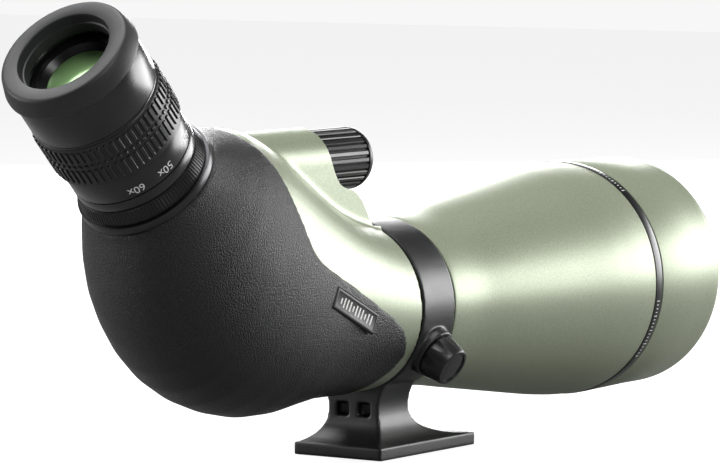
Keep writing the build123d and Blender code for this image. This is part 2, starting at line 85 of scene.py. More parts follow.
# Finishes
@dataclass(frozen=True)
class Finish:
    """A plain surface with a speckled colour, uneven gloss and a fine bump.

    Distances are in millimetres, colours are linear.
    """

    name: str
    colour: tuple[float, float, float]
    roughness: float = 0.4
    metallic: float = 0.0
    coat: float = 0.0
    speckle: float = 0.1
    speckle_size: float = 0.5
    bump: float = 0.1
    bump_size: float = 0.3
    bump_height: float = 0.05
    gloss_spread: float = 0.08

    def material(self) -> bpy.types.Material:
        """Material of this finish, made once."""
        name = "finish_" + self.name
        found = bpy.data.materials.get(name)
        if found:
            return found
        made = bpy.data.materials.new(name)
        made.use_nodes = True
        self.dress(made.node_tree)
        return made

    def dress(self, tree: bpy.types.NodeTree) -> None:
        """Fill the node tree.

        Args:
            tree: The new material's nodes, which hold only the default shader.
        """
        shader = tree.nodes["Principled BSDF"]
        shader.inputs["Metallic"].default_value = self.metallic
        shader.inputs["Coat Weight"].default_value = self.coat
        shader.inputs["Coat Roughness"].default_value = COAT_ROUGHNESS
        place = tree.nodes.new("ShaderNodeTexCoord").outputs["Object"]
        grain = self.noise(tree, place, self.speckle_size, 2.0)
        low = tuple(c * (1 - self.speckle) for c in self.colour)
        high = tuple(min(1.0, c * (1 + self.speckle)) for c in self.colour)
        self.link_colour(tree, grain, low, high, shader.inputs["Base Color"])
        cloud = self.noise(tree, place, CLOUD_SIZE, 3.0)
        gloss = tree.nodes.new("ShaderNodeMapRange")
        gloss.inputs["To Min"].default_value = max(0.02, self.roughness - self.gloss_spread)
        gloss.inputs["To Max"].default_value = self.roughness + self.gloss_spread
        tree.links.new(cloud, gloss.inputs["Value"])
        tree.links.new(gloss.outputs["Result"], shader.inputs["Roughness"])
        self.link_bump(tree, self.relief(tree, place), shader.inputs["Normal"])

    def relief(self, tree: bpy.types.NodeTree, place: bpy.types.NodeSocket) -> bpy.types.NodeSocket:
        """Height pattern of the surface."""
        return self.noise(tree, place, self.bump_size, 3.0)

    def noise(
        self, tree: bpy.types.NodeTree, place: bpy.types.NodeSocket, size: float, detail: float
    ) -> bpy.types.NodeSocket:
        """Noise whose lumps are about size millimetres wide."""
        node = tree.nodes.new("ShaderNodeTexNoise")
        node.inputs["Scale"].default_value = 1 / (size * MM)
        node.inputs["Detail"].default_value = detail
        tree.links.new(place, node.inputs["Vector"])
        return node.outputs["Fac"]

    def link_colour(
        self, tree: bpy.types.NodeTree, value: bpy.types.NodeSocket, low: tuple, high: tuple,
        target: bpy.types.NodeSocket, edges: tuple[float, float] = (0.35, 0.65),
    ) -> None:
        """Drive a colour socket from a pattern.

        Args:
            tree: The nodes.
            value: The pattern, from 0 to 1.
            low: Colour at the first edge.
            high: Colour at the second edge.
            target: The socket that takes the colour.
            edges: Where the ramp starts and ends.
        """
        ramp = tree.nodes.new("ShaderNodeValToRGB")
        ramp.color_ramp.elements[0].position = edges[0]
        ramp.color_ramp.elements[1].position = edges[1]
        ramp.color_ramp.elements[0].color = (*low, 1)
        ramp.color_ramp.elements[1].color = (*high, 1)
        tree.links.new(value, ramp.inputs["Fac"])
        tree.links.new(ramp.outputs["Color"], target)

    def link_bump(
        self, tree: bpy.types.NodeTree, height: bpy.types.NodeSocket, target: bpy.types.NodeSocket
    ) -> None:
        """Turn a height pattern into the shader's normal."""
        node = tree.nodes.new("ShaderNodeBump")
        node.inputs["Strength"].default_value = self.bump
        node.inputs["Distance"].default_value = self.bump_height * MM
        tree.links.new(height, node.inputs["Height"])
        tree.links.new(node.outputs["Normal"], target)


@dataclass(frozen=True)
class Pebbled(Finish):
    """Moulded rubber with a leathery grain of rounded pebbles."""

    pebble: float = 0.9

    def relief(self, tree: bpy.types.NodeTree, place: bpy.types.NodeSocket) -> bpy.types.NodeSocket:
        """Round cells with a finer noise over them."""
        cells = tree.nodes.new("ShaderNodeTexVoronoi")
        cells.inputs["Scale"].default_value = 1 / (self.pebble * MM)
        tree.links.new(place, cells.inputs["Vector"])
        fine = self.noise(tree, place, self.bump_size, 4.0)
        mix = tree.nodes.new("ShaderNodeMath")
        mix.operation = "SUBTRACT"
        tree.links.new(fine, mix.inputs[0])
        tree.links.new(cells.outputs["Distance"], mix.inputs[1])
        return mix.outputs["Value"]


@dataclass(frozen=True)
class Coated(Finish):
    """Coated optical glass: a dark body with a coloured, mirror-like skin."""

    rim: tuple[float, float, float] = (0.02, 0.03, 0.02)

    def dress(self, tree: bpy.types.NodeTree) -> None:
        """Mix the coating's colour with the rim colour where the surface turns away; for the green eye glass
        the coating's colour also holds painted light, standing in for light coming through the lens.
        """
        shader = tree.nodes["Principled BSDF"]
        shader.inputs["Roughness"].default_value = self.roughness
        shader.inputs["Metallic"].default_value = self.metallic
        shader.inputs["Coat Weight"].default_value = self.coat
        shader.inputs["Coat Roughness"].default_value = GLASS_COAT_ROUGHNESS
        facing = tree.nodes.new("ShaderNodeLayerWeight")
        facing.inputs["Blend"].default_value = 0.35
        self.link_colour(
            tree, facing.outputs["Facing"], self.colour, self.rim, shader.inputs["Base Color"], (0.05, 0.9)
        )


SAGE = Finish(
    "sage_paint", (0.33, 0.372, 0.268), metallic=0.35, coat=0.1, speckle=0.14,
    bump=0.16, bump_size=0.45, bump_height=0.04, gloss_spread=0.03,
)
CAST_BLACK = Finish(
    "textured_black_paint", (0.010, 0.010, 0.011), roughness=0.42, coat=0.15, speckle=0.4,
    speckle_size=0.6, bump=0.6, bump_size=0.6, bump_height=0.09,
)
ANODISED = Finish(
    "satin_anodised", (0.012, 0.012, 0.013), roughness=0.3, metallic=0.3, coat=0.1, speckle=0.2,
    speckle_size=0.4, bump_size=0.25, bump_height=0.02,
)
SLEEVE_BLACK = Finish(
    "smooth_black", (0.011, 0.011, 0.012), roughness=0.27, metallic=0.1, coat=0.3, speckle=0.12,
    bump=0.08, bump_height=0.02, gloss_spread=0.03,
)
GRIP = Finish(
    "grip_rubber", (0.009, 0.009, 0.010), roughness=0.38, coat=0.1, speckle=0.25,
    bump=0.25, bump_height=0.04,
)
CUP = Finish(
    "cup_rubber", (0.022, 0.022, 0.024), roughness=0.5, coat=0.05, speckle=0.2,
    bump=0.2, bump_size=0.35, bump_height=0.03,
)
ARMOUR = Pebbled(
    "armour_rubber", (0.009, 0.009, 0.009), speckle=0.8, speckle_size=0.6,
    bump=1.0, bump_size=0.35, bump_height=0.24, gloss_spread=0.05, pebble=0.62,
)
BRIGHT = Finish(
    "turned_metal", (0.055, 0.055, 0.058), roughness=0.3, metallic=0.9, speckle_size=0.3,
    bump_size=0.2, bump_height=0.02,
)
STEEL = Finish("steel", (0.45, 0.45, 0.46), roughness=0.3, metallic=1.0)
BRASS = Finish("brass", (0.62, 0.43, 0.18), roughness=0.3, metallic=1.0)
PRINT = Finish("white_print", (0.80, 0.80, 0.79), roughness=0.5, speckle=0.06)
FELT = Finish(
    "felt", (0.010, 0.010, 0.010), roughness=0.9, speckle=0.4, speckle_size=0.3,
    bump=0.8, bump_size=0.2, bump_height=0.1,
)
ACETAL = Finish("acetal", (0.03, 0.03, 0.03), roughness=0.35)
PLATE = Finish("plate_black", (0.009, 0.009, 0.010), roughness=0.5)
# Eye lens glass: the green is the coating's own colour, and its pale brightness is painted light that stands
# in for light coming through the lens.
GLASS_GREEN_AND_PAINTED_LIGHT = Coated(
    "green_coating_and_painted_light", (0.50, 0.80, 0.36), roughness=0.16, metallic=0.35, coat=1.0, rim=(0.10, 0.30, 0.07),
)
GLASS_DARK = Coated(
    "violet_coating", (0.035, 0.03, 0.07), roughness=0.04, metallic=0.4, coat=1.0, rim=(0.05, 0.12, 0.08),
)


# Modelling
def alone(piece: bpy.types.Object) -> None:
    """Select one object and make it active."""
    bpy.ops.object.select_all(action="DESELECT")
    piece.select_set(True)
    bpy.context.view_layer.objects.active = piece


def finish_modifier(piece: bpy.types.Object, kind: str, **settings: object) -> None:
    """Add a modifier and apply it at once.

    Args:
        piece: The object.
        kind: Blender's name of the modifier.
        settings: Its properties.
    """
    alone(piece)
    modifier = piece.modifiers.new(kind.lower(), kind)
    for key, value in settings.items():
        setattr(modifier, key, value)
    bpy.ops.object.modifier_apply(modifier=modifier.name)


def bevel(piece: bpy.types.Object, width: float, segments: int = 2, angle: float = 28.0) -> None:
    """Round the edges that are sharper than an angle in degrees; width is in millimetres."""
    finish_modifier(
        piece, "BEVEL", width=width * MM, segments=segments, limit_method="ANGLE",
        angle_limit=math.radians(angle), use_clamp_overlap=True,
    )


def smooth(piece: bpy.types.Object, angle: float = 32.0) -> None:
    """Shade smooth across edges blunter than an angle in degrees."""
    alone(piece)
    bpy.ops.object.shade_smooth_by_angle(angle=math.radians(angle))


def turned(name: str, stations: Stations, hollow: bool = True, segments: int = 128) -> bpy.types.Object:
    """Ring or disc about Z, drawn out of a circle station by station.

    Args:
        name: The piece's name.
        stations: (height, radius) corners of its section, in millimetres.
        hollow: Whether the section is a closed ring; otherwise both ends are capped.
        segments: Corners of the circle.

    Returns:
        The new object.
    """
    height, radius = stations[0]
    bpy.ops.object.select_all(action="DESELECT")
    bpy.ops.mesh.primitive_circle_add(
        vertices=segments, radius=radius * MM, fill_type="NOTHING" if hollow else "NGON",
        location=(0, 0, height * MM),
    )
    piece = bpy.context.active_object
    piece.name = name
    bpy.ops.object.transform_apply(location=True)
    bpy.ops.object.mode_set(mode="EDIT")
    bpy.ops.mesh.select_all(action="SELECT")
    for next_height, next_radius in stations[1:]:
        bpy.ops.mesh.extrude_region_move(
            TRANSFORM_OT_translate={"value": (0, 0, (next_height - height) * MM)}
        )
        share = next_radius / radius
        bpy.ops.transform.resize(value=(share, share, 1), center_override=(0, 0, next_height * MM))
        height, radius = next_height, next_radius
    bpy.ops.mesh.select_all(action="DESELECT")
    bpy.ops.mesh.select_non_manifold()
    if hollow:
        bpy.ops.mesh.bridge_edge_loops()
    else:
        bpy.ops.mesh.edge_face_add()
    bpy.ops.mesh.select_all(action="SELECT")
    bpy.ops.mesh.normals_make_consistent(inside=False)
    bpy.ops.object.mode_set(mode="OBJECT")
    return piece


def bar(size: tuple[float, float, float], place: tuple[float, float, float], edge: float) -> bpy.types.Object:
    """Small block with rounded edges, in millimetres."""
    bpy.ops.object.select_all(action="DESELECT")
    bpy.ops.mesh.primitive_cube_add(size=MM, location=[c * MM for c in place], scale=size)
    block = bpy.context.active_object
    bpy.ops.object.transform_apply(location=True, scale=True)
    bevel(block, edge, 1)
    return block


def join(base: bpy.types.Object, others: list[bpy.types.Object]) -> bpy.types.Object:
    """Join objects into the first one."""
    bpy.ops.object.select_all(action="DESELECT")
    for other in others:
        other.select_set(True)
    base.select_set(True)
    bpy.context.view_layer.objects.active = base
    bpy.ops.object.join()
    return base


def around(model: bpy.types.Object, count: int) -> list[bpy.types.Object]:
    """Copies of a model evenly round Z, with the model as the first."""
    made = [model]
    for number in range(1, count):
        copy = model.copy()
        copy.data = model.data.copy()
        copy.data.transform(Matrix.Rotation(FULL_TURN * number / count, 4, "Z"))
        bpy.context.scene.collection.objects.link(copy)
        made.append(copy)
    return made


def side_solid(name: str, outline: Stations, half_width: float) -> bpy.types.Object:
    """Solid across X from the (y, z) corners of its side view, in millimetres."""
    curve = bpy.data.curves.new(name, "CURVE")
    curve.dimensions = "2D"
    curve.fill_mode = "BOTH"
    curve.extrude = half_width * MM
    spline = curve.splines.new("POLY")
    spline.points.add(len(outline) - 1)
    for point, (y, z) in zip(spline.points, outline):
        point.co = (y * MM, z * MM, 0, 1)
    spline.use_cyclic_u = True
    solid = bpy.data.objects.new(name, curve)
    bpy.context.scene.collection.objects.link(solid)
    alone(solid)
    bpy.ops.object.convert(target="MESH")
    solid.matrix_world = Matrix(((0, 0, 1, 0), (1, 0, 0, 0), (0, 1, 0, 0), (0, 0, 0, 1)))
    bpy.ops.object.transform_apply()
    bpy.ops.object.mode_set(mode="EDIT")
    bpy.ops.mesh.select_all(action="SELECT")
    bpy.ops.mesh.remove_doubles(threshold=0.01 * MM)
    bpy.ops.mesh.normals_make_consistent(inside=False)
    bpy.ops.object.mode_set(mode="OBJECT")
    return solid


def curve_points(points: Stations, steps: int = 10) -> Stations:
    """Smooth line through the given points, end to end."""
    padded = [points[0], *points, points[-1]]
    line = []
    for first, start, end, last in zip(padded, padded[1:], padded[2:], padded[3:]):
        for step in range(steps):
            u = step / steps
            line.append(tuple(
                0.5 * (
                    2 * b + (c - a) * u + (2 * a - 5 * b + 4 * c - d) * u**2
                    + (3 * b - a - 3 * c + d) * u**3
                )
                for a, b, c, d in zip(first, start, end, last)
            ))
    return [*line, points[-1]]


def combine(piece: bpy.types.Object, other: bpy.types.Object, operation: str) -> None:
    """Boolean of two closed solids; the other one is used up."""
    finish_modifier(piece, "BOOLEAN", object=other, operation=operation, solver="MANIFOLD")
    bpy.data.objects.remove(other)


def softened(name: str, node: str, voxel: float, rounds: int) -> bpy.types.Object:
    """Copy of a part with its edges rounded as in a casting.

    Args:
        name: The piece's name.
        node: The part that is copied.
        voxel: Size of the new faces, in millimetres.
        rounds: How often the surface is smoothed.

    Returns:
        The new object.
    """
    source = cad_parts[node]
    piece = bpy.data.objects.new(name, source.data.copy())
    bpy.context.scene.collection.objects.link(piece)
    alone(piece)
    bpy.ops.object.mode_set(mode="EDIT")
    bpy.ops.mesh.select_all(action="SELECT")
    bpy.ops.mesh.remove_doubles(threshold=0.002 * MM)
    bpy.ops.object.mode_set(mode="OBJECT")
    finish_modifier(piece, "REMESH", mode="VOXEL", voxel_size=voxel * MM)
    finish_modifier(piece, "SMOOTH", factor=0.5, iterations=rounds)
    return piece


def hand_over(
    piece: bpy.types.Object, body: Body, finish: Finish, slot: str, *nodes: str, angle: float = 32.0
) -> bpy.types.Object:
    """Dress a finished piece and tie it to the frame.

    Args:
        piece: The modelled object, in place.
        body: The body that it moves with.
        finish: Its surface.
        slot: The record's material slot; not used.
        nodes: Parts that it stands for.
        angle: Edges blunter than this are shaded smooth.

    Returns:
        The same object.
    """
    smooth(piece, angle)
    piece.data.materials.clear()
    piece.data.materials.append(finish.material())
    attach(piece, body.value)
    if nodes:
        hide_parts(*nodes)
    LOG.info("%s: %d faces on %s", piece.name, len(piece.data.polygons), body.value)
    return piece


def placed(piece: bpy.types.Object, axis: Axis) -> bpy.types.Object:
    """Lay a piece that was modelled about Z on one of the scope's axes."""
    alone(piece)
    piece.matrix_world = axis.matrix()
    bpy.ops.object.transform_apply()
    return piece


# Sub-assemblies
@dataclass
class FrontTube:
    """Tapered front tube, trim ring and sliding sun hood."""

    cone_radius: float = 36.0
    cone_start: float = 20.0
    slope: float = 0.14
    joint: float = 131.0
    hood: tuple[float, float] = (137.0, 188.0)

    def radius(self, y: float) -> float:
        """Outer radius of the plain cone."""
        return self.cone_radius + self.slope * (y - self.cone_start)

    def barrel(self) -> None:
        """Outer skin of the tube, from the collar to the trim ring."""
        outer = curve_points([
            (-0.5, 34.6), (2.0, 35.0), (20.0, 36.0), (40.0, self.radius(40)), (70.0, self.radius(70)),
            (100.0, self.radius(100)), (110.0, 48.4), (120.0, 49.3), (self.joint, 49.8),
        ], 6)
        inner = [(self.joint, 46.3), (60.0, 39.0), (2.0, 31.5), (-0.5, 31.2)]
        piece = turned("barrel_skin", [*outer, *inner], segments=FINE_RING)
        bevel(piece, 0.25)
        hand_over(placed(piece, Axis.OPTICAL), Body.TUBE, SAGE, "green_shell", "front_barrel")

    def trim(self) -> None:
        """Black ring with a fine graduated pattern in two places."""
        low, high, bore, outer = 131.2, 136.1, 46.6, 50.05
        section = [(low, bore), (low, outer), (high, outer), (high, bore)]
        piece = turned("trim_band", section, segments=192)
        bevel(piece, 0.3, 3)
        hand_over(placed(piece, Axis.OPTICAL), Body.TUBE, ANODISED, "black_anodised", "trim_ring")
        ticks = []
        for middle in (66.0, -24.0, -114.0, 156.0):
            for number in range(-8, 9):
                tick = bar((0.1, 0.4, 2.2 if number % 4 == 0 else 1.3), (outer, 0, (low + high) / 2), 0.03)
                tick.data.transform(Matrix.Rotation(math.radians(-middle - 1.9 * number), 4, "Z"))
                ticks.append(tick)
        join(ticks[0], ticks[1:])
        ticks[0].name = "trim_ticks"
        hand_over(placed(ticks[0], Axis.OPTICAL), Body.TUBE, PRINT, "black_anodised")

    def hood_shell(self) -> None:
        """Plain hood with a rounded nose and a turned-in lip."""
        rear, front = self.hood
        nose = curve_points([(178.0, 49.4), (183.5, 49.25), (186.6, 47.9), (front, 45.6)], 6)
        piece = turned(
            "hood_shell",
            [(rear, 47.85), (rear, 50.0), (168.0, 49.4), *nose, (187.4, 45.0), (183.0, 45.0), (179.5, 47.8)],
            segments=FINE_RING,
        )
        bevel(piece, 0.25, 2)
        hand_over(placed(piece, Axis.OPTICAL), Body.HOOD, SAGE, "green_shell", "lens_hood")

    def build(self) -> None:
        """Every piece in front of the collar."""
        self.barrel()
        self.trim()
        self.hood_shell()
        lens = glass("objective_glass", 153.6, 157.0, 42.4, 5.2)
        hand_over(placed(lens, Axis.OPTICAL), Body.TUBE, GLASS_DARK, "glass", "objective_front_lens")


@dataclass
class Housing:
    """Prism housing with the focus hump, and the rubber armour over its rear."""

    pivot: tuple[float, float] = (-23.5, 252.5)
    neck_t: float = 82.1
    hump_radius: float = 13.7
    knob_bore: float = 12.9
    voxel: float = 0.95
    proud: float = 0.55
    cutter_width: float = 60.0

    def sections(self) -> list[tuple[float, float, float, float]]:
        """Angle, near distance, far distance and half width of each section."""
        table = [
            (0.0, 157.6, 226.4, 34.4), (10.0, 152.0, 229.2, 35.5), (20.0, 145.0, 243.3, 38.2),
            (30.0, 142.0, 248.0, 39.6), (38.0, 147.0, 238.6, 36.8), (45.0, 163.7, 219.3, 27.8),
        ]
        line = curve_points(table, 3)
        return [(a, n, f, w) for a, n, f, w in line]

    def tube(self) -> bpy.types.Object:
        """Bent main form, drawn out section by section from a circle."""
        bpy.ops.object.select_all(action="DESELECT")
        bpy.ops.mesh.primitive_circle_add(vertices=64, radius=MM, fill_type="NGON")
        piece = bpy.context.active_object
        bpy.ops.object.mode_set(mode="EDIT")
        bpy.ops.mesh.select_all(action="SELECT")
        now = Matrix.Identity(4)
        for number, target in enumerate(self.placements()):
            if number:
                bpy.ops.mesh.extrude_region_move(TRANSFORM_OT_translate={"value": (0, 0, 0)})
            self.carry(piece, target @ now.inverted())
            now = target
        bpy.ops.mesh.select_all(action="DESELECT")
        bpy.ops.mesh.select_non_manifold()
        bpy.ops.mesh.edge_face_add()
        bpy.ops.mesh.select_all(action="SELECT")
        bpy.ops.mesh.normals_make_consistent(inside=False)
        bpy.ops.object.mode_set(mode="OBJECT")
        return piece

    def placements(self) -> list[Matrix]:
        """Place, turn and size of each section."""
        made = []
        for angle, near, far, width in self.sections():
            turn = math.radians(angle)
            middle = (near + far) / 2
            y = self.pivot[0] - middle * math.sin(turn)
            z = self.pivot[1] - middle * math.cos(turn)
            spot = Matrix.Translation((0, y * MM, z * MM)) @ Matrix.Rotation(math.pi / 2 - turn, 4, "X")
            made.append(spot @ Matrix.Diagonal((width, (far - near) / 2, 1, 1)))
        neck = Axis.EYEPIECE.matrix() @ Matrix.Translation((0, 0, self.neck_t * MM))
        made.append(neck @ Matrix.Diagonal((27.7, 27.7, 1, 1)))
        return made

    def carry(self, piece: bpy.types.Object, change: Matrix) -> None:
        """Move the selected corners of a mesh in edit mode."""
        bpy.ops.object.mode_set(mode="OBJECT")
        for vertex in piece.data.vertices:
            if vertex.select:
                vertex.co = change @ vertex.co
        bpy.ops.object.mode_set(mode="EDIT")

    def body(self) -> bpy.types.Object:
        """Tube, hump and chin run together with soft creases."""
        form = self.tube()
        front, radius = -8.0, self.hump_radius
        hump = placed(turned("hump", [(-125.0, radius), (front, radius)], False, 96), Axis.FOCUS)
        corners = [(front, 80.0), (-100.0, 80.0), (-100.0, 120.5), (front, 120.5)]
        chin = side_solid("chin", corners, radius)
        join(form, [hump, chin])
        form.name = "housing_shell"
        finish_modifier(form, "REMESH", mode="VOXEL", voxel_size=self.voxel * MM)
        finish_modifier(form, "SMOOTH", factor=0.5, iterations=9)
        return form

    def seam_cutter(self) -> bpy.types.Object:
        """Everything below and behind the armour's edge."""
        seam = curve_points([
            (-127.0, 146.0), (-116.5, 124.0), (-110.5, 104.0), (-101.0, 87.0), (-74.0, 73.5),
            (-42.0, 57.6), (-31.4, 47.0), (-32.0, 38.0), (-46.0, 18.0),
        ])
        below = [(-60.0, -10.0), (-260.0, -10.0), (-260.0, 146.0)]
        return side_solid("seam_cutter", [*seam, *below], self.cutter_width)

    def front_air(self) -> bpy.types.Object:
        """Open space round the knob, in front of the shroud's rim."""
        rim = curve_points([
            (-60.0, 135.0), (-59.4, 129.0), (-57.2, 120.5), (-51.5, 111.8), (-42.0, 108.5), (-37.3, 105.2),
            (-34.0, 101.0), (-31.0, 96.4), (-29.0, 93.6),
        ])
        open_side = [(-23.5, 93.4), (-23.5, 10.0), (0.0, 10.0), (0.0, 150.0)]
        return side_solid("front_air", [(-60.0, 150.0), *rim, *open_side], self.cutter_width)

    def build(self) -> None:
        """Green shell and black armour."""
        shell = self.body()
        armour = shell.copy()
        armour.data = shell.data.copy()
        armour.name = "armour_skin"
        bpy.context.scene.collection.objects.link(armour)
        finish_modifier(armour, "DISPLACE", strength=self.proud * MM, mid_level=0.0)
        combine(armour, self.seam_cutter(), "INTERSECT")
        finish_modifier(armour, "REMESH", mode="VOXEL", voxel_size=self.voxel * MM)
        finish_modifier(armour, "SMOOTH", factor=0.5, iterations=3)
        combine(armour, Badge().pocket(), "DIFFERENCE")
        bore_line = [(-62.6, self.knob_bore), (0.0, self.knob_bore)]
        bore = placed(turned("bore", bore_line, False, 128), Axis.FOCUS)
        combine(shell, bore, "DIFFERENCE")
        combine(shell, self.front_air(), "DIFFERENCE")
        hand_over(shell, Body.TUBE, SAGE, "green_shell", "prism_housing", "knob_shroud")
        hand_over(armour, Body.TUBE, ARMOUR, "armour_rubber", "rubber_armour")


@dataclass
class Mount:
    """Tripod collar with its foot, and the lock knob."""

    flutes: int = 8

    def build(self) -> None:
        """Cast collar and fluted knob."""
        collar = softened("collar_casting", "tripod_collar", 0.62, 3)
        hand_over(collar, Body.MOUNT, CAST_BLACK, "black_paint", "tripod_collar", angle=60)
        self.knob()

    def knob(self) -> None:
        """Tapered lock knob with eight soft flutes and a sunk cap."""
        knob = turned("lock_grip", [(38.0, 9.3), (39.0, 9.6), (46.5, 8.2), (47.4, 7.6)], False, 96)
        for number in range(self.flutes):
            flute = turned("flute", [(36.0, 4.2), (50.0, 4.2)], False, 48)
            turn = Matrix.Rotation(FULL_TURN / self.flutes * number, 4, "Z")
            flute.data.transform(turn @ Matrix.Translation((12.9 * MM, 0, 0)))
            combine(knob, flute, "DIFFERENCE")
        sunk = turned("sunk", [(46.7, 6.5), (50.0, 6.5)], False, 64)
        combine(knob, sunk, "DIFFERENCE")
        bevel(knob, 0.35, 3, 25)
        hand_over(placed(knob, Axis.LOCK), Body.LOCK, GRIP, "grip_rubber", "lock_knob")
        cap = turned("lock_disc", [(46.5, 6.3), (47.1, 6.3), (47.2, 2.0)], False, 64)
        bevel(cap, 0.2)
        hand_over(placed(cap, Axis.LOCK), Body.LOCK, SLEEVE_BLACK, "grip_rubber", "lock_knob_cap")


@dataclass
class FocusKnob:
    """Ribbed focus knob in its shroud."""

    radius: float = 12.5
    ribs: int = 28
    front: float = -25.9
    rear: float = -62.0

    def build(self) -> None:
        """Core with a plain front rim, and long ribs round it."""
        core_radius = self.radius - 1.0
        rim = curve_points([(self.front - 1.7, self.radius), (self.front - 0.5, 12.1), (self.front, 10.9)], 5)
        core = turned(
            "focus_grip",
            [
                (self.rear, core_radius), (self.front - 3.0, core_radius), (self.front - 3.0, self.radius),
                *rim, (self.front, 9.6), (self.front - 0.3, 9.2), (self.front - 0.3, 2.0),
            ],
            False, 128,
        )
        bevel(core, 0.15)
        pitch = FULL_TURN * self.radius / self.ribs
        middle = (self.rear + self.front - 3.6) / 2
        length = self.front - 3.6 - self.rear
        rib = bar((1.4, pitch * 0.66, length), (self.radius - 0.7, 0, middle), 0.3)
        join(core, around(rib, self.ribs))
        hand_over(placed(core, Axis.FOCUS), Body.FOCUS, GRIP, "grip_rubber", "focus_knob", "focus_knob_cap")


